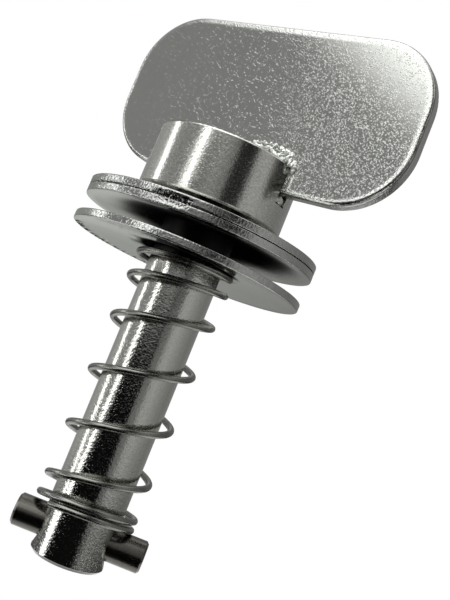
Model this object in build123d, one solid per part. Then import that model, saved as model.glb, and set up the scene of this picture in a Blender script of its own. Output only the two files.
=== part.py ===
from build123d import *
from math import cos, radians, sin
import os

# Spring-loaded locking knob, in millimetres.
# Z runs up the shank towards the handle. z = 0 is the underside of the lower
# face washer, where the panel sits; the handle plate lies in the XZ plane.

# stud: a turned head with a long plain shank
shank_d = 12.0
shank_length = 59.45  # below the head
tip_chamfer = 0.5
head_d = 24.5
head_height = 10.5
head_chamfer = 0.35

# handle: a flat plate standing in a slot milled across the head
handle_width = 56.4
handle_height = 27.8
handle_thickness = 2.5
handle_corner_r = 11.0
handle_edge_r = 0.6
handle_offset = 2.8  # the plate sits off centre along its slot
handle_sunk = 4.8  # depth of the plate's lower edge below the head's top
slot_clearance = 0.15  # each side of the plate
slot_under_handle = 1.6  # slot left open below the plate

# weld that joins the plate to the head at one end of the slot
weld_r = 1.7  # over the head's edge, where the bead is fullest
weld_start_r = 0.6
weld_run = 6.5  # along the head's top
weld_side_r = 1.15
weld_drop = 1.2  # down the head's side
weld_inset = 0.2  # of the bead's middle, in from the head's corner and out from the plate

# washers, all three alike and slightly dished, rim down
washer_d = 39.0
washer_thickness = 1.25
washer_dish = 1.4  # rise from the rim to the middle
washer_bore_clearance = 0.5  # round the shank
washer_edge = 0.15  # chamfer round the rim
face_washer_shift = 0.3  # off centre, as the pair hangs loose on the shank
face_washer_shift_side = 32.0  # degrees round from +X
nest_gap = 0.1  # between the two face washers
head_lift = 2.1  # from the upper face washer's rim up to the head
panel_gap = 3.65  # between the lower face washer and the spring washer
spring_washer_lean = 1.4  # degrees, as it hangs loose on the shank
spring_washer_low_side = 80.0  # degrees round from +X

# cross pin pressed through the shank near its tip
pin_d = 5.2
pin_length = 21.6
pin_above_tip = 4.6
pin_offset = 0.5  # along the pin, off the shank's middle
pin_turn = 33.0  # degrees round from the handle
pin_chamfer = 0.35
mouth_depth = 1.1
mouth_flare = 1.3  # wider than the pin at the shank's surface

# compression spring between the spring washer and the pin
wire_d = 1.1
coil_d = 15.6  # mean
coil_turns = 7.32
closed_turns_low = 1.06
closed_turns_high = 0.02
low_ramp_turns = 1.37
high_ramp_turns = 2.63
closed_gap = 0.16  # between coils that lie closed
spring_start = -98.0  # degrees round from +X, at the lower cut end
seat_clearance = 0.05
cant_rise = 1.3  # the lowest coil has rocked over on the pin
points_per_turn = 8


def place_across(shape, height, turn):
    """Lays a shape made along Z across the shank."""
    return Location((0, 0, height), (0, 0, turn)) * Rotation(0, 90, 0) * shape


def dish_rise(radius):
    """Height of a washer's underside above the foot of its rim."""
    return washer_dish * (1 - (radius / foot_r) ** 2)


def make_washer():
    """A dished washer whose rim stands on z = 0."""
    under = [(r, dish_rise(r)) for r in (bore_r, (bore_r + foot_r) / 2, foot_r)]
    over = [(r, rise + washer_thickness) for r, rise in under]
    rim_low = (washer_r, washer_edge)
    rim_high = (washer_r, washer_thickness - washer_edge)
    outline = Wire([
        ThreePointArc(*under),
        *Polyline(under[-1], rim_low, rim_high, over[-1]).edges(),
        ThreePointArc(*over),
        Line(over[0], under[0]),
    ])
    return revolve(Plane.XZ * make_face(outline), Axis.Z)


# heights and radii that follow from the stack
washer_r = washer_d / 2
foot_r = washer_r - washer_edge
washer_pair_top = 2 * washer_thickness + nest_gap
head_bottom = washer_pair_top + head_lift
head_top = head_bottom + head_height
tip = head_bottom - shank_length
spring_washer_bottom = -panel_gap - washer_thickness
pin_height = tip + pin_above_tip
shank_r = shank_d / 2
head_r = head_d / 2
pin_r = pin_d / 2
bore_r = shank_r + washer_bore_clearance

# cross pin
cross_pin = Cylinder(pin_r, pin_length)
cross_pin = chamfer(cross_pin.edges().filter_by(GeomType.CIRCLE), pin_chamfer)
cross_pin = place_across(Pos(0, 0, pin_offset) * cross_pin, pin_height, pin_turn)

# handle plate
handle_middle = head_top - handle_sunk + handle_height / 2
handle_face = RectangleRounded(handle_width, handle_height, handle_corner_r)
handle_plate = extrude(handle_face, handle_thickness / 2, both=True)
rims = handle_plate.faces().filter_by(Axis.Z)
handle_plate = fillet(rims[0].edges() + rims[-1].edges(), handle_edge_r)
handle_plate = Location((handle_offset, 0, handle_middle), (90, 0, 0)) * handle_plate

# stud, turned in one from its half outline
half_outline = Polyline(
    (0, tip),
    (shank_r - tip_chamfer, tip),
    (shank_r, tip + tip_chamfer),
    (shank_r, head_bottom),
    (head_r - head_chamfer, head_bottom),
    (head_r, head_bottom + head_chamfer),
    (head_r, head_top - head_chamfer),
    (head_r - head_chamfer, head_top),
    (0, head_top),
    close=True,
)
stud = revolve(Plane.XZ * make_face(half_outline), Axis.Z)

slot_depth = handle_sunk + slot_under_handle
slot = Box(2 * head_d, handle_thickness + 2 * slot_clearance, slot_depth)
slot = Location((0, 0, head_top - slot_depth / 2)) * slot
stud -= slot

cross_hole = Cylinder(pin_r, 2 * shank_d)
mouth = Cone(pin_r, pin_r + mouth_flare, mouth_depth)
mouth_middle = shank_r - mouth_depth / 2
cross_hole += Location((0, 0, mouth_middle)) * mouth
cross_hole += Location((0, 0, -mouth_middle), (180, 0, 0)) * mouth
stud -= place_across(cross_hole, pin_height, pin_turn)

# weld, on both faces of the plate
weld_bead = None
for side in (-1, 1):
    weld_y = side * (handle_thickness / 2 + weld_inset)
    run_start = Vector(head_r - weld_run, weld_y, head_top)
    corner = Vector(head_r - weld_inset, weld_y, head_top - weld_inset)
    run = corner - run_start
    bead = Solid.make_cone(weld_start_r, weld_r, run.length, Plane(run_start, z_dir=run))
    bead = bead + Pos(run_start) * Sphere(weld_start_r) + Pos(corner) * Sphere(weld_r)
    bead += Solid.make_cylinder(weld_side_r, weld_drop, Plane(corner, z_dir=(0, 0, -1)))
    bead += Pos(corner - Vector(0, 0, weld_drop)) * Sphere(weld_side_r)
    weld_bead = bead if weld_bead is None else weld_bead + bead
weld_bead = weld_bead - stud - slot - handle_plate

# washers
washer = make_washer()
shift = Vector(face_washer_shift, 0, 0).rotate(Axis.Z, face_washer_shift_side)
lower_face_washer = Pos(shift) * washer
upper_face_washer = Pos(0, 0, washer_thickness + nest_gap) * lower_face_washer
low_side = Vector(1, 0, 0).rotate(Axis.Z, spring_washer_low_side)
lean_axis = Axis((0, 0, 0), Vector(0, 0, 1).cross(low_side))
spring_washer = washer.rotate(lean_axis, spring_washer_lean)
spring_washer = Pos(0, 0, spring_washer_bottom) * spring_washer

# spring: closed ends, with a pitch that opens out towards the middle
coil_reach = (coil_d + wire_d) / 2
closed_pitch = wire_d + closed_gap
turns_to_pin = (pin_turn - spring_start) / 360
wire_end_turn = spring_start + 360 * coil_turns
lean_dip = sin(radians(spring_washer_lean)) * coil_reach
lean_dip *= cos(radians(wire_end_turn - spring_washer_low_side))
low_end = pin_height + pin_r + wire_d / 2 + seat_clearance - turns_to_pin * closed_pitch
high_end = spring_washer_bottom + dish_rise(coil_reach) - lean_dip - wire_d / 2 - seat_clearance


def openness(turn):
    """0 where the coils lie closed, 1 where they stand at full pitch."""
    from_low = (turn - closed_turns_low) / low_ramp_turns
    from_high = (coil_turns - closed_turns_high - turn) / high_ramp_turns
    return max(0.0, min(1.0, from_low, from_high))


steps = round(coil_turns * points_per_turn)
step_turns = coil_turns / steps
open_sum = sum(openness((i + 0.5) * step_turns) for i in range(steps)) * step_turns
open_pitch = (high_end - low_end - closed_pitch * coil_turns) / open_sum
height = low_end
centre_line = []
for i in range(steps + 1):
    angle = radians(spring_start + 360 * i * step_turns)
    lowness = (high_end - height) / (high_end - low_end)
    cant = cant_rise * lowness**4 * sin(radians(pin_turn) - angle)
    centre_line.append((coil_d / 2 * cos(angle), coil_d / 2 * sin(angle), height + cant))
    height += (closed_pitch + open_pitch * openness((i + 0.5) * step_turns)) * step_turns
wire = Spline(*centre_line)
spring = sweep(Plane(wire @ 0, z_dir=wire % 0) * Circle(wire_d / 2), path=wire)

os.makedirs("parts", exist_ok=True)
nodes = {
    "stud": stud,
    "handle_plate": handle_plate,
    "weld_bead": weld_bead,
    "cross_pin": cross_pin,
    "upper_face_washer": upper_face_washer,
    "lower_face_washer": lower_face_washer,
    "spring_washer": spring_washer,
    "spring": spring,
}
for name, shape in nodes.items():
    export_step(shape, f"parts/{name}.step")
    print(name, round(shape.volume, 1), shape.bounding_box())
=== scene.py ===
import math
import random

import bmesh
import bpy
from mathutils import Matrix, Vector, noise


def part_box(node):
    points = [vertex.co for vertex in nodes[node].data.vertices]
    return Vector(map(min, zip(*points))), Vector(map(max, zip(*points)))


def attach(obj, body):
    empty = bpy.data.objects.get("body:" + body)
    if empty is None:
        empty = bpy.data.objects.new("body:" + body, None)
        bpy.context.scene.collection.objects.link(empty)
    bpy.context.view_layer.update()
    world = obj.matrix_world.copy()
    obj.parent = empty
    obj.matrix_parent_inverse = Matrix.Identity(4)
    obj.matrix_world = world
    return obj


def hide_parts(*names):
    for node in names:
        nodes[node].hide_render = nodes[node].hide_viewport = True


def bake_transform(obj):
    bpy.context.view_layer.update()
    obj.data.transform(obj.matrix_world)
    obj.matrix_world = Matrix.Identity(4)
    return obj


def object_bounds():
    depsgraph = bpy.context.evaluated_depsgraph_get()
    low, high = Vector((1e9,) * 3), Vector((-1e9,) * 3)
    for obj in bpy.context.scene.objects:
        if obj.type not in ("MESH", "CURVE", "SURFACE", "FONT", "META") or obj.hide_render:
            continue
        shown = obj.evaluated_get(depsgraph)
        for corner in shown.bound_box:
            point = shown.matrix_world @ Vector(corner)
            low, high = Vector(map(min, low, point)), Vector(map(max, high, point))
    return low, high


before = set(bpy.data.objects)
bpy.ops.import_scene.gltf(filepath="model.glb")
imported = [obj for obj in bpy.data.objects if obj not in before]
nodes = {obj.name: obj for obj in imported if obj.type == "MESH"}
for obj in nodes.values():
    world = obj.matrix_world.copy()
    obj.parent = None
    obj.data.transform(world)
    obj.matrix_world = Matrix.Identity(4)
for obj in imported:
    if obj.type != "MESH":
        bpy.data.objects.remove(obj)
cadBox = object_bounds()
mm = 0.001
print("frame loaded:", len(nodes), "nodes")


# small helpers for objects and meshes
def linkObject(name, data):
    obj = bpy.data.objects.new(name, data)
    bpy.context.scene.collection.objects.link(obj)
    return obj


def meshFrom(bm, name):
    mesh = bpy.data.meshes.new(name)
    bm.to_mesh(mesh)
    bm.free()
    return mesh


def plainMesh(carrier, name):  # what the carrier's modifiers make, as a mesh of its own
    carrier.update_tag()
    bpy.context.view_layer.update()
    shown = carrier.evaluated_get(bpy.context.evaluated_depsgraph_get())
    mesh = bpy.data.meshes.new_from_object(shown)
    mesh.name = name
    bpy.data.objects.remove(carrier)
    return mesh


def ease(value, low, high):  # 0 below low, 1 above high
    t = max(0.0, min(1.0, (value - low) / (high - low)))
    return t * t * (3 - 2 * t)


def within(turn, start, end):  # rises over start and falls over end
    return ease(turn, *start) * (1 - ease(turn, *end))


def directionTo(azimuth, height):  # degrees, from -Y towards +X, and up
    a, e = math.radians(azimuth), math.radians(height)
    return Vector((math.sin(a) * math.cos(e), -math.cos(a) * math.cos(e), math.sin(e)))


# small helpers for shader and geometry trees
def startMaterial(name):
    material = bpy.data.materials.new(name)
    material.use_nodes = True
    tree = material.node_tree
    shader = tree.nodes["Principled BSDF"]
    return material, tree, shader


def addNode(tree, kind, inputs=None, **settings):
    node = tree.nodes.new(kind)
    for key, value in settings.items():
        setattr(node, key, value)
    for key, value in (inputs or {}).items():
        if isinstance(value, bpy.types.NodeSocket):
            tree.links.new(value, node.inputs[key])
        else:
            node.inputs[key].default_value = value
    return node


def mathNode(tree, operation, a, b=0.0, c=0.0):
    return addNode(tree, "ShaderNodeMath", {0: a, 1: b, 2: c}, operation=operation).outputs[0]


def times(tree, a, b):
    return mathNode(tree, "MULTIPLY", a, b)


def minus(tree, a, b):
    return mathNode(tree, "SUBTRACT", a, b)


def sway(tree, pattern, amount, base):  # moves base up and down with a pattern round 0.5
    return mathNode(tree, "MULTIPLY_ADD", minus(tree, pattern, 0.5), amount, base)


def smoothMask(tree, value, low, high):
    ramp = addNode(
        tree, "ShaderNodeMapRange",
        {"Value": value, "From Min": low, "From Max": high, "To Min": 0.0, "To Max": 1.0},
        interpolation_type="SMOOTHSTEP",
    )
    return ramp.outputs["Result"]


def bandMask(tree, value, low, high, soft):
    rise = smoothMask(tree, value, low - soft, low + soft)
    fall = smoothMask(tree, value, high - soft, high + soft)
    return times(tree, rise, minus(tree, 1.0, fall))


def objectPlace(tree):
    return addNode(tree, "ShaderNodeTexCoord").outputs["Object"]


def separate(tree, vector):
    return addNode(tree, "ShaderNodeSeparateXYZ", {0: vector}).outputs


def noiseAt(tree, coords, scale, detail=2.0, rough=0.5, stretch=None, turn=None):
    if turn is not None:  # degrees round Y
        turned = {"Vector": coords, "Rotation": (0, math.radians(turn), 0)}
        coords = addNode(tree, "ShaderNodeMapping", turned).outputs[0]
    if stretch:
        coords = addNode(tree, "ShaderNodeMapping", {"Vector": coords, "Scale": stretch}).outputs[0]
    return addNode(
        tree, "ShaderNodeTexNoise",
        {"Vector": coords, "Scale": scale, "Detail": detail, "Roughness": rough},
    ).outputs[0]


def mixValue(tree, factor, a, b):
    return addNode(tree, "ShaderNodeMapRange", {"Value": factor, "To Min": a, "To Max": b}).outputs["Result"]


def mixColour(tree, factor, a, b):
    node = addNode(tree, "ShaderNodeMix", data_type="RGBA")
    for socket, value in ((node.inputs[0], factor), (node.inputs[6], a), (node.inputs[7], b)):
        if isinstance(value, bpy.types.NodeSocket):
            tree.links.new(value, socket)
        else:
            socket.default_value = value
    return node.outputs[2]


def addBumps(tree, *layers):  # each layer is (height, distance)
    normal = None
    for height, distance in layers:
        inputs = {"Strength": 1.0, "Distance": distance, "Height": height}
        if normal is not None:
            inputs["Normal"] = normal
        normal = addNode(tree, "ShaderNodeBump", inputs).outputs[0]
    return normal


def setMetal(tree, shader, colour, rough, normal):
    shader.inputs["Metallic"].default_value = 1.0
    tree.links.new(colour, shader.inputs["Base Color"])
    tree.links.new(rough, shader.inputs["Roughness"])
    tree.links.new(normal, shader.inputs["Normal"])


def grey(level, warmth=0.0):
    return (level * (0.98 + warmth), level, level * (0.955 - warmth), 1.0)


# stud: bright plating, finer on the head, with worn corners and painted shade on the neck between the
# washers
studFinish = dict(
    headHeight=10.5 * mm, headBelow=0.1 * mm, headSoft=0.3 * mm,
    shankRough=0.06, headRough=0.15, roughSway=0.12, cloudScale=260,
    peelScale=2600, peelDepth=0.029 * mm, headPeel=0.6,
    speckScale=5200, speckDepth=0.004 * mm, speckRange=(0.6, 0.72), headSpeck=0.8,
    chipScale=2600, chipDepth=0.1 * mm, chipWidth=0.25 * mm, chipRange=(0.48, 0.6), chipGrey=0.12,
    chipsFrom=11.9 * mm, chipsSoft=0.2 * mm,
    mottleScale=2300, mottleStretch=(1, 1, 1.7), shankMottle=0.8, headMottle=2.4,
    greys=(0.5, 0.7), warmth=0.02,
    # painted shade: the neck is painted near black between the washers, with ragged ends
    neckShadeFrom=-4.9 * mm, neckShadeSway=3.0 * mm, neckShadeScale=520, neckShadeSoft=0.5 * mm,
    neckShadeRough=0.3, neckShadeGrey=0.025,
    tipRim=0.55 * mm, tipSoft=0.15 * mm, tipGrey=0.16,
)


def makeStudMaterial():
    finish = studFinish
    material, tree, shader = startMaterial("platedStud")
    coords = objectPlace(tree)
    x, y, height = separate(tree, coords)
    flat = addNode(tree, "ShaderNodeCombineXYZ", {0: x, 1: y}).outputs[0]
    radius = addNode(tree, "ShaderNodeVectorMath", {0: flat}, operation="LENGTH").outputs["Value"]
    low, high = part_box("stud")
    halfHead = finish["headHeight"] / 2
    headLine = high[2] - finish["headHeight"] - finish["headBelow"]
    onHead = smoothMask(tree, height, headLine, headLine + finish["headSoft"])

    fromMiddle = mathNode(tree, "ABSOLUTE", minus(tree, height, high[2] - halfHead))
    atCorner = smoothMask(tree, fromMiddle, halfHead - finish["chipWidth"], halfHead)
    atEdge = smoothMask(tree, radius, finish["chipsFrom"] - finish["chipsSoft"], finish["chipsFrom"])
    chipped = times(tree, times(tree, atCorner, atEdge), onHead)  # the head's two worn corners

    # painted shade: a black band on the shank between the washers
    neckShadeEdge = noiseAt(tree, coords, finish["neckShadeScale"], 3.0, 0.6)
    neckShadeEdge = sway(tree, neckShadeEdge, finish["neckShadeSway"], height)
    neckShade = bandMask(tree, neckShadeEdge, finish["neckShadeFrom"], headLine, finish["neckShadeSoft"])
    neckShade = times(tree, neckShade, minus(tree, 1.0, onHead))  # painted shade on the shank between the washers, with ragged ends like grease

    cloud = noiseAt(tree, coords, finish["cloudScale"], 3.0)
    rough = mixValue(tree, onHead, finish["shankRough"], finish["headRough"])
    rough = sway(tree, cloud, finish["roughSway"], rough)
    rough = mathNode(tree, "MULTIPLY_ADD", neckShade, finish["neckShadeRough"], rough)

    peel = noiseAt(tree, coords, finish["peelScale"], 2.0, 0.6)
    speck = smoothMask(tree, noiseAt(tree, coords, finish["speckScale"], 1.0), *finish["speckRange"])
    chips = noiseAt(tree, coords, finish["chipScale"], 2.0, 0.6)
    normal = addBumps(
        tree,
        (times(tree, peel, mixValue(tree, onHead, 1.0, finish["headPeel"])), finish["peelDepth"]),
        (times(tree, speck, mixValue(tree, onHead, 1.0, finish["headSpeck"])), finish["speckDepth"]),
        (times(tree, chips, chipped), finish["chipDepth"]),
    )

    dark, light = (grey(level, finish["warmth"]) for level in finish["greys"])
    mottle = noiseAt(tree, coords, finish["mottleScale"], 4.0, 0.7, finish["mottleStretch"])
    mottle = sway(tree, mottle, mixValue(tree, onHead, finish["shankMottle"], finish["headMottle"]), 0.5)
    colour = mixColour(tree, smoothMask(tree, mottle, 0.0, 1.0), dark, light)
    dull = times(tree, chipped, minus(tree, 1.0, smoothMask(tree, chips, *finish["chipRange"])))
    colour = mixColour(tree, dull, colour, grey(finish["chipGrey"]))
    tipLine = low[2] + finish["tipRim"]
    atTip = minus(tree, 1.0, smoothMask(tree, height, tipLine - finish["tipSoft"], tipLine))
    colour = mixColour(tree, atTip, colour, grey(finish["tipGrey"]))
    # painted shade on the neck
    colour = mixColour(tree, neckShade, colour, grey(finish["neckShadeGrey"]))
    setMetal(tree, shader, colour, rough, normal)
    return material


# handle plate: sheet with crossing scratches, grain towards one end and rolled, sheared edges
plateFinish = dict(
    rough=0.09, roughSway=0.04, cloudScale=120, greys=(0.57, 0.63), warmth=0.005,
    patchScale=420, patchBusy=(0.2, 1.6),
    grainScale=3700, grainDepth=0.009 * mm, grainRange=(0.56, 0.68),
    grainAlong=(-4 * mm, 28 * mm), grainBusy=(0.05, 1.8),
    fleckScale=4300, fleckDepth=0.017 * mm, fleckRange=(0.67, 0.74), fleckStretch=(0.34, 1, 1),
    fleckTurns=((-22, 1.0), (48, 0.7)),  # degrees round Y, and share of the depth
    fleckAlong=(-22 * mm, 22 * mm), fleckBusy=(0.35, 1.5),
    cornerRadius=11 * mm, rollStart=1.4 * mm, rollWidth=1.0 * mm, rollDepth=0.07 * mm, rollSway=0.5,
    shearWidth=0.22 * mm, shearSide=0.8 * mm, shearSoft=0.1 * mm, shearSway=0.3 * mm,
    shearAlong=(-22 * mm, -16 * mm), shearGrey=0.22,
)


def pastOutline(tree, x, z):  # how far past a line that runs inside the plate's outline
    finish = plateFinish
    low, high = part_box("handle_plate")
    squares = []
    for value, i in ((x, 0), (z, 2)):
        half = (high[i] - low[i]) / 2 - finish["cornerRadius"]
        fromMiddle = mathNode(tree, "ABSOLUTE", minus(tree, value, (high[i] + low[i]) / 2))
        past = mathNode(tree, "MAXIMUM", minus(tree, fromMiddle, half), 0.0)
        squares.append(times(tree, past, past))
    reach = mathNode(tree, "SQRT", mathNode(tree, "ADD", *squares))
    return minus(tree, reach, finish["cornerRadius"] - finish["rollStart"])


def makePlateMaterial():
    finish = plateFinish
    material, tree, shader = startMaterial("platedPlate")
    coords = objectPlace(tree)
    along, across, up = separate(tree, coords)
    grain = noiseAt(tree, coords, finish["grainScale"], 1.5, 0.6)
    patches = noiseAt(tree, coords, finish["patchScale"], 2.0)

    grainBusy = mixValue(tree, smoothMask(tree, along, *finish["grainAlong"]), *finish["grainBusy"])
    sparks = times(tree, smoothMask(tree, grain, *finish["grainRange"]), grainBusy)
    layers = [(sparks, finish["grainDepth"])]
    fleckBusy = mixValue(tree, smoothMask(tree, along, *finish["fleckAlong"]), *finish["fleckBusy"])
    fleckBusy = times(tree, mixValue(tree, patches, *finish["patchBusy"]), fleckBusy)
    for turn, share in finish["fleckTurns"]:
        flecks = noiseAt(tree, coords, finish["fleckScale"], 1.0, 0.6, finish["fleckStretch"], turn)
        flecks = smoothMask(tree, flecks, *finish["fleckRange"])
        layers.append((times(tree, flecks, fleckBusy), finish["fleckDepth"] * share))

    past = pastOutline(tree, along, up)
    roll = sway(tree, grain, finish["rollSway"], mathNode(tree, "DIVIDE", past, finish["rollWidth"]))
    roll = mathNode(tree, "MAXIMUM", roll, 0.0)
    layers.append((times(tree, times(tree, roll, roll), -1.0), finish["rollDepth"]))

    line = sway(tree, patches, finish["shearSway"], past)
    shearStart = finish["rollStart"] - finish["shearWidth"]
    shear = smoothMask(tree, line, shearStart, shearStart + finish["shearSoft"])
    fromMiddle = mathNode(tree, "ABSOLUTE", across)
    onSide = smoothMask(tree, fromMiddle, finish["shearSide"], finish["shearSide"] + finish["shearSoft"])
    shear = times(tree, shear, onSide)  # the dull line that a punch leaves
    shear = times(tree, shear, smoothMask(tree, along, *finish["shearAlong"]))

    cloud = noiseAt(tree, coords, finish["cloudScale"], 3.0)
    rough = sway(tree, cloud, finish["roughSway"], finish["rough"])
    colour = mixColour(tree, cloud, *(grey(level, finish["warmth"]) for level in finish["greys"]))
    colour = mixColour(tree, shear, colour, grey(finish["shearGrey"]))
    setMetal(tree, shader, colour, rough, addBumps(tree, *layers))
    return material


# washers: bright faces, coarse sheared rims, and painted shade: black in the gaps between the parts, in the
# bores, and in torn hollows and nicks
washerFinish = dict(
    # the near-black grey and the high roughness here are for painted shade
    faceRough=0.1, rimRough=0.12, gapShadeRough=0.85, roughSway=0.12, cloudScale=300,
    rimScale=2900, rimDepth=0.065 * mm, rimStretch=(1, 1, 0.6), rimGrey=0.36,
    peelScale=1900, peelDepth=0.012 * mm, greys=(0.58, 0.68), shadeGrey=0.02,
)


def makeWasherMaterial():
    finish = washerFinish
    material, tree, shader = startMaterial("platedWasher")
    coords = objectPlace(tree)
    onRim, gapShade, hollowShade = (
        addNode(tree, "ShaderNodeAttribute", attribute_name=label).outputs["Fac"]
        for label in ("onRim", "gapShade", "hollowShade")
    )
    dark = mathNode(tree, "MAXIMUM", gapShade, hollowShade)
    cloud = noiseAt(tree, coords, finish["cloudScale"], 2.0)
    rough = mixValue(tree, onRim, finish["faceRough"], finish["rimRough"])
    rough = sway(tree, cloud, finish["roughSway"], rough)
    rough = mathNode(tree, "MAXIMUM", rough, times(tree, gapShade, finish["gapShadeRough"]))

    rimGrain = times(tree, noiseAt(tree, coords, finish["rimScale"], 2.0, 0.6, finish["rimStretch"]), onRim)
    peel = times(tree, noiseAt(tree, coords, finish["peelScale"], 2.0), minus(tree, 1.0, onRim))
    normal = addBumps(tree, (rimGrain, finish["rimDepth"]), (peel, finish["peelDepth"]))

    colour = mixColour(tree, cloud, *(grey(level) for level in finish["greys"]))
    colour = mixColour(tree, rimGrain, colour, grey(finish["rimGrey"]))
    # painted shade: near black in the gaps, bores and hollows, with its reflections dimmed too
    colour = mixColour(tree, dark, colour, grey(finish["shadeGrey"]))
    tint = mixColour(tree, dark, grey(1.0), grey(finish["shadeGrey"]))
    tree.links.new(tint, shader.inputs["Specular Tint"])
    setMetal(tree, shader, colour, rough, normal)
    return material


# bare metals: cloud and fine are noise as (scale, detail, roughness)
pinFinish = dict(
    cloud=(420, 3.0, 0.5), fine=(3800, 2.0, 0.5), greys=(0.1, 0.18), warmth=0.06,
    roughBy="cloud", rough=(0.18, 0.3), depth=0.006 * mm,
)
wireFinish = dict(
    cloud=(500, 3.0, 0.5), fine=(2600, 3.0, 0.6), greys=(0.18, 0.33), warmth=0.03,
    roughBy="fine", rough=(0.2, 0.32), depth=0.004 * mm,
)
weldFinish = dict(
    cloud=(3600, 2.0, 0.7), fine=(3600, 2.0, 0.7), greys=(0.8, 0.95), warmth=0.0,
    roughBy="fine", rough=(0.3, 0.5), depth=0.07 * mm,
)


def makeBareMetal(name, finish):
    material, tree, shader = startMaterial(name)
    coords = objectPlace(tree)
    patterns = {label: noiseAt(tree, coords, *finish[label]) for label in ("cloud", "fine")}
    darkest, lightest = (grey(level, finish["warmth"]) for level in finish["greys"])
    colour = mixColour(tree, patterns["cloud"], darkest, lightest)
    rough = mixValue(tree, patterns[finish["roughBy"]], *finish["rough"])
    setMetal(tree, shader, colour, rough, addBumps(tree, (patterns["fine"], finish["depth"])))
    return material


studMaterial = makeStudMaterial()
plateMaterial = makePlateMaterial()
washerMaterial = makeWasherMaterial()
pinMaterial = makeBareMetal("pinSteel", pinFinish)
wireMaterial = makeBareMetal("springWire", wireFinish)
weldMaterial = makeBareMetal("weldMetal", weldFinish)
for nodeName, material in (
    ("stud", studMaterial), ("handle_plate", plateMaterial), ("weld_bead", weldMaterial),
    ("cross_pin", pinMaterial), ("upper_face_washer", washerMaterial),
    ("lower_face_washer", washerMaterial), ("spring_washer", washerMaterial),
    ("spring", wireMaterial),
):
    slots = nodes[nodeName].data.materials
    slots.clear()
    slots.append(material)
print("finishes made")


# washers: dished blanks with a sheared rim
washerShape = dict(
    thickness=1.25 * mm, dish=1.4 * mm, edge=0.15 * mm, bore=6.5 * mm,
    segments=1440, faceRows=9, wallRows=9, sharpAngle=50,
    waveHeight=0.03 * mm, waveRate=0.12,  # rates are noise steps for each degree of turn
    gritHeight=0.008 * mm, gritRate=2.3, gritRows=4.0,
    burrHeight=0.28 * mm, burrReach=0.035 * mm, burrRate=1.1, burrLift=0.15,
    burrsFrom=(-142, -122), burrsTo=(-66, -56),  # degrees round from +X
    tearDepth=0.34 * mm, tearBase=0.65, tearFrom=(-81, -78), tearTo=(-66, -62), tearEdge=(0.4, 0.75),
    # chipDark and nickDark set where torn hollows and nicks get painted shade
    chipRate=1.7, chipRows=2.6, chipShare=0.25, chipDark=(-0.35, 0.0),
    nickDepth=1.8 * mm, nickRate=0.5, nickFloor=0.02, nickReach=1 * mm, nickDark=(0.02, 0.12),
    # the painted shade on the faces wanders and leans to one side
    gapShadeWander=1.2 * mm, wanderScale=2.2, gapShadeSide=32.0,
)
# for each face, painted shade: how far out from the bore it is painted black, how softly that ends, and how
# far it leans aside
upperFaceWasher = dict(seed=2, tornSide="under", tearShare=1.0, nicks=None, gapShade={})
lowerFaceWasher = dict(
    seed=5, tornSide="over", tearShare=0.3, nicks=None,
    gapShade={"under": (15.4 * mm, 6.5 * mm, 1.2 * mm)},
)
springWasher = dict(
    seed=9, tornSide=None, tearShare=0.0, nicks=((130, 138), (214, 222)),
    gapShade={"over": (15.3 * mm, 4.4 * mm, 1.0 * mm), "under": (8.7 * mm, 0.3 * mm, -0.7 * mm)},
    lean=1.4, lowSide=80.0, bottom=-4.9 * mm,
)


def washerOutline():  # (radius, height, 1 on the rim, part) from bore to rim and back
    shape = washerShape
    corner = shape["edge"]
    foot = cadWasherRadius - corner
    low, high = corner, shape["thickness"] - corner
    rows = []
    for i in range(shape["faceRows"] + 1):
        radius = shape["bore"] + (foot - shape["bore"]) * i / shape["faceRows"]
        rows.append((radius, shape["dish"] * (1 - (radius / foot) ** 2), 0.0, "under"))
    under = list(rows)

    def addCorner(middle, angles):
        for angle in map(math.radians, angles):
            rows.append((foot + corner * math.cos(angle), middle + corner * math.sin(angle), 1.0, "rim"))

    addCorner(low, (-60, -30, 0))
    for i in range(1, shape["wallRows"]):
        rows.append((cadWasherRadius, low + (high - low) * i / shape["wallRows"], 1.0, "rim"))
    addCorner(high, (0, 30, 60))
    for radius, height, _, _ in reversed(under):
        rows.append((radius, height + shape["thickness"], 0.0, "over"))
    for i in (1, 2):
        rows.append((shape["bore"], shape["dish"] + shape["thickness"] * (1 - i / 3), 0.0, "bore"))
    return rows


def noiseOf(x, y, z):
    return noise.noise(Vector((x, y, z)))


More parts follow.
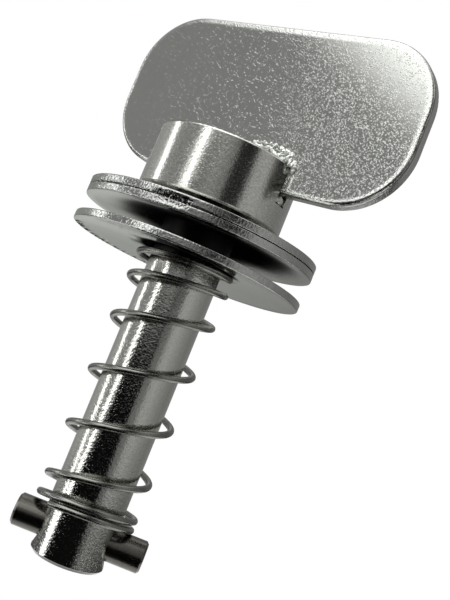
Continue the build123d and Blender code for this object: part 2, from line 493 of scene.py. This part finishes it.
def buildWasher(name, node, body, place, looks):
    shape = washerShape
    seed, tornSide, nicks, gapShadeTo = (looks[key] for key in ("seed", "tornSide", "nicks", "gapShade"))
    rows = washerOutline()
    outerRow = cadWasherRadius - shape["nickReach"]
    count = shape["segments"]
    points, rim, gapShade, hollowShade = [], [], [], []
    for s in range(count):
        angle = 2 * math.pi * s / count
        degrees = math.degrees(angle)
        turn = (degrees + 180) % 360 - 180
        around = Vector((math.cos(angle), math.sin(angle), 0))
        wave = noiseOf(degrees * shape["waveRate"], seed + 3, 0)
        burrs, tearing, nick = 0.0, 0.0, 0.0
        if tornSide:
            burrs = within(turn, shape["burrsFrom"], shape["burrsTo"])
            tearing = within(turn, shape["tearFrom"], shape["tearTo"]) * looks["tearShare"]
        spike = max(0.0, noiseOf(degrees * shape["burrRate"], seed, 0) + shape["burrLift"])
        if nicks:
            nick = max(0.0, noiseOf(degrees * shape["nickRate"], seed + 11, 0) - shape["nickFloor"])
            nick *= within(degrees, *nicks)
        wander = noise.noise(around * shape["wanderScale"] + Vector((seed, 0, 0))) * shape["gapShadeWander"]
        sideways = math.cos(math.radians(degrees - shape["gapShadeSide"]))
        for radius, height, onRim, part in rows:
            r, z = radius, height
            hollowShadeHere, gapShadeHere = 0.0, 0.0
            if onRim:
                share = height / shape["thickness"]
                chip = noiseOf(degrees * shape["chipRate"], share * shape["chipRows"], seed + 5)
                grit = noiseOf(degrees * shape["gritRate"], share * shape["gritRows"], seed + 9)
                r += shape["waveHeight"] * wave + shape["gritHeight"] * grit
                if tornSide:
                    edge, sign = (share, 1) if tornSide == "under" else (1 - share, -1)
                    z += sign * shape["burrHeight"] * (1 - ease(edge, 0.0, 0.5)) * spike * burrs
                    r += shape["burrReach"] * burrs * grit
                    hollow = tearing * (1 - ease(edge + shape["chipShare"] * chip, *shape["tearEdge"]))
                    r -= shape["tearDepth"] * hollow * (shape["tearBase"] + chip)
                    # painted shade in the torn hollow
                    hollowShadeHere = hollow * ease(chip, *shape["chipDark"])
                if share < 0.5:
                    r -= nick * shape["nickDepth"] * (1 - share)
                    # painted shade inside the nicks
                    hollowShadeHere = max(hollowShadeHere, ease(nick, *shape["nickDark"]))
            elif part == "under" and radius > outerRow:
                r -= nick * shape["nickDepth"]
                # painted shade inside the nick
                hollowShadeHere = ease(nick, *shape["nickDark"])
            # painted shade: black in the bore and on the faces out to a wandering limit
            if gapShadeTo and part == "bore":
                gapShadeHere = 1.0
            elif part in gapShadeTo:
                limit, soft, shift = gapShadeTo[part]
                limit += wander * min(1.0, soft / mm) + shift * sideways
                gapShadeHere = 1 - ease(radius, limit - soft, limit + soft / 2)
            points.append(place @ Vector((r * around.x, r * around.y, z)))
            rim.append(onRim)
            gapShade.append(gapShadeHere)
            hollowShade.append(hollowShadeHere)
    perTurn = len(rows)
    faces = []
    for s in range(count):
        a, b = s * perTurn, ((s + 1) % count) * perTurn
        for i in range(perTurn):
            j = (i + 1) % perTurn
            faces.append((a + i, a + j, b + j, b + i))
    mesh = bpy.data.meshes.new(name)
    mesh.from_pydata(points, [], faces)
    bm = bmesh.new()
    bm.from_mesh(mesh)
    bmesh.ops.recalc_face_normals(bm, faces=bm.faces)
    bm.to_mesh(mesh)
    bm.free()
    mesh.shade_smooth()
    mesh.set_sharp_from_angle(angle=math.radians(shape["sharpAngle"]))
    for label, values in (("onRim", rim), ("gapShade", gapShade), ("hollowShade", hollowShade)):
        mesh.attributes.new(label, "FLOAT", "POINT").data.foreach_set("value", values)
    mesh.materials.append(washerMaterial)
    washer = linkObject(name, mesh)
    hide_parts(node)
    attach(washer, body)


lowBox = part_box("lower_face_washer")
cadWasherRadius = (lowBox[1][0] - lowBox[0][0]) / 2
middle = Vector(((lowBox[0][0] + lowBox[1][0]) / 2, (lowBox[0][1] + lowBox[1][1]) / 2, 0))
upperPlace = Matrix.Translation(middle + Vector((0, 0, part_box("upper_face_washer")[0][2])))
lowerPlace = Matrix.Translation(middle + Vector((0, 0, lowBox[0][2])))
leanAxis = Vector((0, 0, 1)).cross(directionTo(springWasher["lowSide"] + 90, 0))
leaning = Matrix.Rotation(math.radians(springWasher["lean"]), 4, leanAxis)
springPlace = Matrix.Translation((0, 0, springWasher["bottom"])) @ leaning
buildWasher("upperFaceWasher", "upper_face_washer", "face_washers", upperPlace, upperFaceWasher)
buildWasher("lowerFaceWasher", "lower_face_washer", "face_washers", lowerPlace, lowerFaceWasher)
buildWasher("springWasher", "spring_washer", "spring_side", springPlace, springWasher)
print("washers made")


# spring: a wire that follows the coil's rule, from its seat on the cross pin up to the loose washer
springShape = dict(
    wire=1.1 * mm, coil=15.6 * mm, turns=7.32, closedLow=1.06, closedHigh=0.02, lowRamp=1.37, highRamp=2.63,
    closedGap=0.16 * mm, start=-98.0, seatGap=0.05 * mm, cant=1.3 * mm,
    pinTurn=33.0, pinWidth=5.2 * mm, pinAboveTip=4.6 * mm,
    perTurn=56, sides=18,
)


def springEnds(closedPitch):  # heights of the wire's middle at its two cut ends
    s = springShape
    washer, seat = washerShape, springWasher
    clear = s["wire"] / 2 + s["seatGap"]
    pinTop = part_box("stud")[0][2] + s["pinAboveTip"] + s["pinWidth"] / 2
    lowEnd = pinTop + clear - (s["pinTurn"] - s["start"]) / 360 * closedPitch
    reach = (s["coil"] + s["wire"]) / 2
    dishRise = washer["dish"] * (1 - (reach / (cadWasherRadius - washer["edge"])) ** 2)
    lastTurn = math.radians(s["start"] + 360 * s["turns"] - seat["lowSide"])
    leanDip = math.sin(math.radians(seat["lean"])) * reach * math.cos(lastTurn)
    return lowEnd, seat["bottom"] + dishRise - leanDip - clear


def openness(turn):  # 0 where the coils lie closed, 1 where they stand at full pitch
    s = springShape
    fromLow = (turn - s["closedLow"]) / s["lowRamp"]
    fromHigh = (s["turns"] - s["closedHigh"] - turn) / s["highRamp"]
    return max(0.0, min(1.0, fromLow, fromHigh))


def makeSpringTree():
    tree = bpy.data.node_groups.new("coilRule", "GeometryNodeTree")
    sockets = {
        "NodeSocketInt": ("Points", "Sides"),
        "NodeSocketFloat": (
            "Step Turns", "Closed Pitch", "Open Pitch", "Coil Radius", "Wire Radius", "Low End", "High End",
            "Start", "Cant", "Cant Turn", "Closed Low", "Low Ramp", "Open Until", "High Ramp",
        ),
        "NodeSocketMaterial": ("Material",),
    }
    for kind, names in sockets.items():
        for name in names:
            tree.interface.new_socket(name=name, in_out="INPUT", socket_type=kind)
    tree.interface.new_socket(name="Geometry", in_out="OUTPUT", socket_type="NodeSocketGeometry")
    given = tree.nodes.new("NodeGroupInput").outputs
    result = tree.nodes.new("NodeGroupOutput")

    index = addNode(tree, "GeometryNodeInputIndex").outputs[0]
    turn = times(tree, index, given["Step Turns"])
    middleTurn = mathNode(tree, "MULTIPLY_ADD", given["Step Turns"], 0.5, turn)
    fromLow = mathNode(tree, "DIVIDE", minus(tree, middleTurn, given["Closed Low"]), given["Low Ramp"])
    fromHigh = mathNode(tree, "DIVIDE", minus(tree, given["Open Until"], middleTurn), given["High Ramp"])
    opened = mathNode(tree, "MINIMUM", mathNode(tree, "MINIMUM", fromLow, fromHigh), 1.0)
    opened = mathNode(tree, "MAXIMUM", opened, 0.0)
    pitch = mathNode(tree, "MULTIPLY_ADD", given["Open Pitch"], opened, given["Closed Pitch"])
    step = times(tree, pitch, given["Step Turns"])
    climbed = addNode(tree, "GeometryNodeAccumulateField", {"Value": step}, data_type="FLOAT")
    height = mathNode(tree, "ADD", climbed.outputs["Trailing"], given["Low End"])
    angle = mathNode(tree, "MULTIPLY_ADD", turn, 2 * math.pi, given["Start"])

    # the lowest coil rocks over on the pin, and less and less above it
    span = minus(tree, given["High End"], given["Low End"])
    lowness = mathNode(tree, "DIVIDE", minus(tree, given["High End"], height), span)
    cant = mathNode(tree, "POWER", mathNode(tree, "MAXIMUM", lowness, 0.0), 4.0)
    cant = times(tree, cant, given["Cant"])
    side = mathNode(tree, "SINE", minus(tree, given["Cant Turn"], angle))
    height = mathNode(tree, "MULTIPLY_ADD", cant, side, height)
    x = times(tree, given["Coil Radius"], mathNode(tree, "COSINE", angle))
    y = times(tree, given["Coil Radius"], mathNode(tree, "SINE", angle))
    place = addNode(tree, "ShaderNodeCombineXYZ", {0: x, 1: y, 2: height}).outputs[0]

    line = addNode(tree, "GeometryNodeMeshLine", {"Count": given["Points"]}).outputs[0]
    coil = addNode(tree, "GeometryNodeSetPosition", {"Geometry": line, "Position": place}).outputs[0]
    coil = addNode(tree, "GeometryNodeMeshToCurve", {0: coil}).outputs[0]
    ringInputs = {"Resolution": given["Sides"], "Radius": given["Wire Radius"]}
    ring = addNode(tree, "GeometryNodeCurvePrimitiveCircle", ringInputs).outputs[0]
    wireInputs = {"Curve": coil, "Profile Curve": ring, "Fill Caps": True}
    wire = addNode(tree, "GeometryNodeCurveToMesh", wireInputs).outputs[0]
    wire = addNode(tree, "GeometryNodeSetShadeSmooth", {0: wire}).outputs[0]
    wire = addNode(tree, "GeometryNodeRealizeInstances", {0: wire}).outputs[0]
    wire = addNode(tree, "GeometryNodeSetMaterial", {0: wire, "Material": given["Material"]}).outputs[0]
    tree.links.new(wire, result.inputs[0])
    return tree


def buildSpring():
    s = springShape
    steps = round(s["turns"] * s["perTurn"])
    stepTurns = s["turns"] / steps
    openSum = sum(openness((i + 0.5) * stepTurns) for i in range(steps)) * stepTurns
    closedPitch = s["wire"] + s["closedGap"]
    lowEnd, highEnd = springEnds(closedPitch)
    openPitch = (highEnd - lowEnd - closedPitch * s["turns"]) / openSum
    tree = makeSpringTree()
    carrier = linkObject("coilCarrier", bpy.data.meshes.new("coilCarrier"))
    modifier = carrier.modifiers.new("coil", "NODES")
    modifier.node_group = tree
    values = {
        "Points": steps + 1, "Step Turns": stepTurns, "Closed Pitch": closedPitch, "Open Pitch": openPitch,
        "Coil Radius": s["coil"] / 2, "Wire Radius": s["wire"] / 2, "Low End": lowEnd, "High End": highEnd,
        "Start": math.radians(s["start"]), "Cant": s["cant"], "Cant Turn": math.radians(s["pinTurn"]),
        "Closed Low": s["closedLow"], "Low Ramp": s["lowRamp"], "Open Until": s["turns"] - s["closedHigh"],
        "High Ramp": s["highRamp"], "Sides": s["sides"], "Material": wireMaterial,
    }
    for item in tree.interface.items_tree:
        if item.item_type == "SOCKET" and item.in_out == "INPUT":
            modifier[item.identifier] = values[item.name]
    mesh = plainMesh(carrier, "coilSpring")
    mesh.shade_smooth()
    spring = linkObject("coilSpring", mesh)
    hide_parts("spring")
    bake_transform(spring)


buildSpring()
print("spring made")


# weld: drops melted into a rippled bead, with spatter up the plate. Places and sizes are in mm
weldShape = dict(
    seed=6, jitter=0.15, voxel=0.08,
    ridge=((3.4, 18.0), (5.6, 18.2), (8.2, 18.2), (10.6, 17.8), (12.2, 16.9), (12.9, 15.6), (12.9, 14.3)),
    drops=120, dropSizes=(0.2, 0.42), dropSunk=0.1, downPower=1.3, downShare=0.9, spread=0.62,
    endFrom=0.75, endDown=0.2, endShrink=0.8,  # past the corner, where the ridge runs down
    fill=((4.0, 1.5), (11.0, 1.75)), fillDrops=22, fillSizes=(0.7, 0.85), fillHeight=0.2,
    corner=((11.5, 15.1), (12.1, 14.1)), cornerDrops=4, cornerSizes=(0.3, 0.42), cornerOut=0.15,
    root=(10.9, 0, 9.6), rootSize=(1.5, 1.36, 0.95),
    lump=0.14, lumpScale=1.1, lumpDrop=0.15, grit=0.12, gritScale=3.0, gritShift=(5, 1, 8),
)


def alongLine(line, share):
    at = share * (len(line) - 1)
    i = min(int(at), len(line) - 2)
    return Vector(line[i]).lerp(Vector(line[i + 1]), at - i)


def makeWeldDrops():
    s = weldShape
    bm = bmesh.new()
    dice = random.Random(s["seed"])
    plateFace = -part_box("handle_plate")[0][1] / mm
    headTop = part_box("stud")[1][2] / mm

    def addDrop(x, y, z, size):
        jitter = Vector([dice.uniform(-s["jitter"], s["jitter"]) for _ in range(3)])
        spot = Matrix.Translation((Vector((x, y, z)) + jitter) * mm)
        bmesh.ops.create_icosphere(bm, subdivisions=2, radius=size * mm, matrix=spot)

    for side in (-1, 1):
        for i in range(s["drops"]):  # spatter that climbs the plate
            share = i / (s["drops"] - 1)
            onTop = share < s["endFrom"]
            x, z = alongLine(s["ridge"], share)
            reach = (z - headTop) * s["downShare"] if onTop else s["endDown"]
            down = dice.uniform(0, 1) ** s["downPower"] * reach
            size = dice.uniform(*s["dropSizes"]) * (1.0 if onTop else s["endShrink"])
            out = plateFace + size * s["dropSunk"] + down * s["spread"]
            addDrop(x, side * out, z - size - down, size)
        for i in range(s["fillDrops"]):  # the bead itself, on the head's top
            share = i / (s["fillDrops"] - 1)
            x, y = alongLine(s["fill"], share)
            small, large = s["fillSizes"]
            addDrop(x, side * y, headTop + s["fillHeight"], small + share * (large - small))
        for i in range(s["cornerDrops"]):  # and over the corner
            x, z = alongLine(s["corner"], i / (s["cornerDrops"] - 1))
            addDrop(x, side * (plateFace + s["cornerOut"]), z, dice.uniform(*s["cornerSizes"]))
    root = Matrix.Translation(Vector(s["root"]) * mm) @ Matrix.Diagonal(s["rootSize"] + (1,))
    bmesh.ops.create_icosphere(bm, subdivisions=4, radius=mm, matrix=root)
    return meshFrom(bm, "weldDrops")


def buildWeld():
    s = weldShape
    carrier = linkObject("weldCarrier", makeWeldDrops())
    remesh = carrier.modifiers.new("voxels", "REMESH")
    remesh.mode = "VOXEL"
    remesh.voxel_size = s["voxel"] * mm
    mesh = plainMesh(carrier, "weldSeam")
    moved = []
    for v in mesh.vertices:
        at = v.co / mm
        lump = noise.noise(at * s["lumpScale"]) - s["lumpDrop"]
        grit = noise.noise(at * s["gritScale"] + Vector(s["gritShift"]))
        moved.append(v.co + v.normal * (s["lump"] * lump + s["grit"] * grit) * mm)
    for v, place in zip(mesh.vertices, moved):
        v.co = place
    mesh.shade_smooth()
    mesh.materials.clear()
    mesh.materials.append(weldMaterial)
    weld = linkObject("weldSeam", mesh)
    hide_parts("weld_bead")
    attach(weld, "knob")


buildWeld()
print("weld made")


# room: a sphere that only lights and reflections see. Angles are degrees, azimuths from -Y towards +X
roomShape = dict(
    radius=4.0, columns=96, rows=48,
    walls=(  # (azimuth, grey) round the horizon
        (-180, 0.25), (-150, 0.26), (-137, 0.55), (-126, 0.35), (-108, 0.34), (-90, 0.46),
        (-80, 0.42), (-56, 0.33), (-40, 0.3), (-8, 0.26), (4, 0.22), (22, 0.3), (40, 0.24),
        (52, 0.2), (66, 0.2), (76, 0.42), (92, 0.45), (108, 0.37), (132, 0.28), (150, 0.23), (180, 0.25),
    ),
    groundHeights=(-17, -8), groundShade=0.8, zenithHeights=(40, 75), zenithLevel=1.0,
    doorway=(43, 73, 4), doorHeights=(3, 9), doorShade=0.9,  # bands are (from, to, soft)
    backdrop=((-172, 0.03), (-160, 0.06), (-150, 0.26), (-140, 0.42), (-128, 0.42), (-116, 0.0)),
    backdropHeights=(-40, -4, 3),
    panel=(-14, 50, 3), panelHeights=(0, 4), panelShade=0.98,
    strips=((-23.0, 0.75, 1.2), (-69.0, 0.0, -1.45)),  # azimuth, and its slope above and below eye level
    stripWidth=(-4.4, 4.4, 2.0), stripHeights=(-20, 22, 2), stripLevel=3.0,
    card=(-48, 26, 5), cardEdge=25.2, cardSlope=0.42, cardPivot=-31, cardLowest=21.5, cardSoft=3.0,
    cardFade=(52, 60), cardLevel=1.7,
)


def rampAlong(tree, azimuth, levels):
    ramp = tree.nodes.new("ShaderNodeValToRGB")
    tree.links.new(mathNode(tree, "MULTIPLY_ADD", azimuth, 1 / 360, 0.5), ramp.inputs[0])
    stops = ramp.color_ramp.elements
    while len(stops) < len(levels):
        stops.new(0.5)
    for stop, (angle, value) in zip(stops, levels):
        stop.position = angle / 360 + 0.5
        stop.color = (value, value, value, 1)
    return ramp.outputs[0]


def shaded(tree, level, mask, share):  # darkens the level by a share where the mask is 1
    return times(tree, level, mathNode(tree, "MULTIPLY_ADD", mask, -share, 1.0))


def roomLevel(tree, azimuth, height):
    s = roomShape
    above = mathNode(tree, "MAXIMUM", height, 0.0)
    below = mathNode(tree, "MINIMUM", height, 0.0)
    level = rampAlong(tree, azimuth, s["walls"])
    ground = minus(tree, 1.0, smoothMask(tree, height, *s["groundHeights"]))
    level = shaded(tree, level, ground, s["groundShade"])
    zenith = smoothMask(tree, height, *s["zenithHeights"])
    level = mathNode(tree, "MULTIPLY_ADD", zenith, s["zenithLevel"], level)

    doorway = bandMask(tree, azimuth, *s["doorway"])  # dark, from eye level up
    doorway = times(tree, doorway, smoothMask(tree, height, *s["doorHeights"]))
    level = shaded(tree, level, doorway, s["doorShade"])

    backdrop = rampAlong(tree, azimuth, s["backdrop"])  # pale, low behind the object
    backdrop = times(tree, backdrop, bandMask(tree, height, *s["backdropHeights"]))
    level = mathNode(tree, "MAXIMUM", level, backdrop)

    panel = bandMask(tree, azimuth, *s["panel"])  # dark, low in front
    panel = times(tree, panel, minus(tree, 1.0, smoothMask(tree, height, *s["panelHeights"])))
    level = shaded(tree, level, panel, s["panelShade"])

    for start, slopeAbove, slopeBelow in s["strips"]:  # two tall soft strips
        centre = mathNode(tree, "MULTIPLY_ADD", below, slopeBelow, start)
        centre = mathNode(tree, "MULTIPLY_ADD", above, slopeAbove, centre)
        across = bandMask(tree, minus(tree, azimuth, centre), *s["stripWidth"])
        strip = times(tree, across, bandMask(tree, height, *s["stripHeights"]))
        level = mathNode(tree, "MULTIPLY_ADD", strip, s["stripLevel"], level)

    startEdge = s["cardEdge"] + s["cardPivot"] * s["cardSlope"]  # a high card with a sloping lower edge
    edge = mathNode(tree, "MULTIPLY_ADD", azimuth, -s["cardSlope"], startEdge)
    past = minus(tree, height, mathNode(tree, "MAXIMUM", edge, s["cardLowest"]))
    card = smoothMask(tree, past, -s["cardSoft"], s["cardSoft"])
    card = times(tree, card, bandMask(tree, azimuth, *s["card"]))
    card = times(tree, card, minus(tree, 1.0, smoothMask(tree, height, *s["cardFade"])))
    return mathNode(tree, "MULTIPLY_ADD", card, s["cardLevel"], level)


def buildRoom():
    s = roomShape
    bm = bmesh.new()
    bmesh.ops.create_uvsphere(bm, u_segments=s["columns"], v_segments=s["rows"], radius=s["radius"])
    room = linkObject("room", meshFrom(bm, "room"))
    room.visible_camera = False
    room.visible_shadow = False
    material = bpy.data.materials.new("roomWalls")
    material.use_nodes = True
    material.cycles.emission_sampling = "NONE"
    tree = material.node_tree
    tree.nodes.clear()
    direction = addNode(tree, "ShaderNodeVectorMath", {0: objectPlace(tree)}, operation="NORMALIZE")
    x, y, z = separate(tree, direction.outputs[0])
    toDegrees = 180 / math.pi
    azimuth = times(tree, mathNode(tree, "ARCTAN2", x, times(tree, y, -1.0)), toDegrees)
    height = times(tree, mathNode(tree, "ARCSINE", z), toDegrees)
    level = roomLevel(tree, azimuth, height)
    glow = addNode(tree, "ShaderNodeEmission", {"Color": (1, 1, 1, 1), "Strength": level})
    output = addNode(tree, "ShaderNodeOutputMaterial")
    tree.links.new(glow.outputs[0], output.inputs["Surface"])
    room.data.materials.append(material)


# world and floor: white to the camera and in what the metal shows
worldLight = dict(shown=1.0, fill=0.3)
floorShape = dict(drop=0.1, radius=0.28, segments=96, level=0.8, rough=0.9, glow=0.35)
white = (1, 1, 1, 1)


def shownRays(tree):
    rays = addNode(tree, "ShaderNodeLightPath").outputs
    seen = mathNode(tree, "MAXIMUM", rays["Is Camera Ray"], rays["Is Glossy Ray"])
    return mathNode(tree, "MAXIMUM", seen, rays["Is Transmission Ray"])


def buildWorld():
    world = bpy.data.worlds.new("studio")
    bpy.context.scene.world = world
    world.use_nodes = True
    tree = world.node_tree
    tree.nodes.clear()
    shown, fill = worldLight["shown"], worldLight["fill"]
    strength = mathNode(tree, "MULTIPLY_ADD", shownRays(tree), shown - fill, fill)
    background = addNode(tree, "ShaderNodeBackground", {"Color": white, "Strength": strength})
    output = addNode(tree, "ShaderNodeOutputWorld")
    tree.links.new(background.outputs[0], output.inputs["Surface"])


def buildFloor():
    s = floorShape
    bm = bmesh.new()
    bmesh.ops.create_circle(bm, cap_ends=True, segments=s["segments"], radius=s["radius"])
    bmesh.ops.translate(bm, verts=bm.verts, vec=(0, 0, cadBox[0].z - s["drop"]))
    floor = linkObject("floor", meshFrom(bm, "floor"))
    material, tree, shader = startMaterial("paleFloor")
    shader.inputs["Base Color"].default_value = (s["level"],) * 3 + (1,)
    shader.inputs["Roughness"].default_value = s["rough"]
    shader.inputs["Emission Color"].default_value = white
    tree.links.new(times(tree, shownRays(tree), s["glow"]), shader.inputs["Emission Strength"])
    floor.data.materials.append(material)


# flag: a dark card low in front, which only reflections see
flagShape = dict(
    azimuths=(-75, 95), low=-74, high=-36, highMiddle=-10, middle=(-24, 58), distance=0.1, centre=-0.03,
    steps=16, level=0.01,
)


def buildFlag():
    s = flagShape
    steps = s["steps"]
    start, end = s["azimuths"]
    bm = bmesh.new()
    grid = []
    for i in range(steps + 1):
        azimuth = start + (end - start) * i / steps
        inMiddle = s["middle"][0] <= azimuth <= s["middle"][1]
        top = s["highMiddle"] if inMiddle else s["high"]
        row = []
        for j in range(steps + 1):
            direction = directionTo(azimuth, s["low"] + (top - s["low"]) * j / steps)
            row.append(bm.verts.new(direction * s["distance"] + Vector((0, 0, s["centre"]))))
        grid.append(row)
    for i in range(steps):
        for j in range(steps):
            bm.faces.new((grid[i][j], grid[i + 1][j], grid[i + 1][j + 1], grid[i][j + 1]))
    card = linkObject("darkFlag", meshFrom(bm, "darkFlag"))
    card.visible_camera = False
    card.visible_shadow = False
    material, _, shader = startMaterial("flagCloth")
    shader.inputs["Base Color"].default_value = (s["level"],) * 3 + (1,)
    shader.inputs["Roughness"].default_value = 1.0
    shader.inputs["Specular IOR Level"].default_value = 0.0
    card.data.materials.append(material)


lampPlace = dict(azimuth=-60, height=70, distance=0.7, size=0.4, power=0.8)


def buildLamp():
    light = bpy.data.lights.new("topSoftbox", "AREA")
    light.shape = "RECTANGLE"
    light.size = light.size_y = lampPlace["size"]
    light.energy = lampPlace["power"]
    lamp = linkObject("topSoftbox", light)
    back = directionTo(lampPlace["azimuth"], lampPlace["height"])
    lamp.location = back * lampPlace["distance"]
    lamp.rotation_euler = back.to_track_quat("Z", "Y").to_euler()


# camera: where it stands round the knob, how it leans, and the lens
cameraPlace = dict(
    azimuth=32.23, height=-5.17, roll=21.96, distance=0.13541, aim=-0.01068, aside=0.008605,
    lens=50.24, near=0.005,
)


def buildCamera():
    roll = math.radians(cameraPlace["roll"])
    back = directionTo(cameraPlace["azimuth"], cameraPlace["height"])
    level = directionTo(cameraPlace["azimuth"] + 90, 0)
    up = back.cross(level)
    right = level * math.cos(roll) + up * math.sin(roll)
    top = up * math.cos(roll) - level * math.sin(roll)
    data = bpy.data.cameras.new("camera")
    data.lens = cameraPlace["lens"]
    data.clip_start = cameraPlace["near"]
    camera = linkObject("camera", data)
    aim = Vector((0, 0, cameraPlace["aim"]))
    place = aim + right * cameraPlace["aside"] + back * cameraPlace["distance"]
    camera.matrix_world = Matrix.Translation(place) @ Matrix((right, top, back)).transposed().to_4x4()
    bpy.context.scene.camera = camera


buildWorld()
buildRoom()
buildFloor()
buildFlag()
buildLamp()
buildCamera()
bpy.context.scene.view_settings.view_transform = "Standard"
print("studio set")
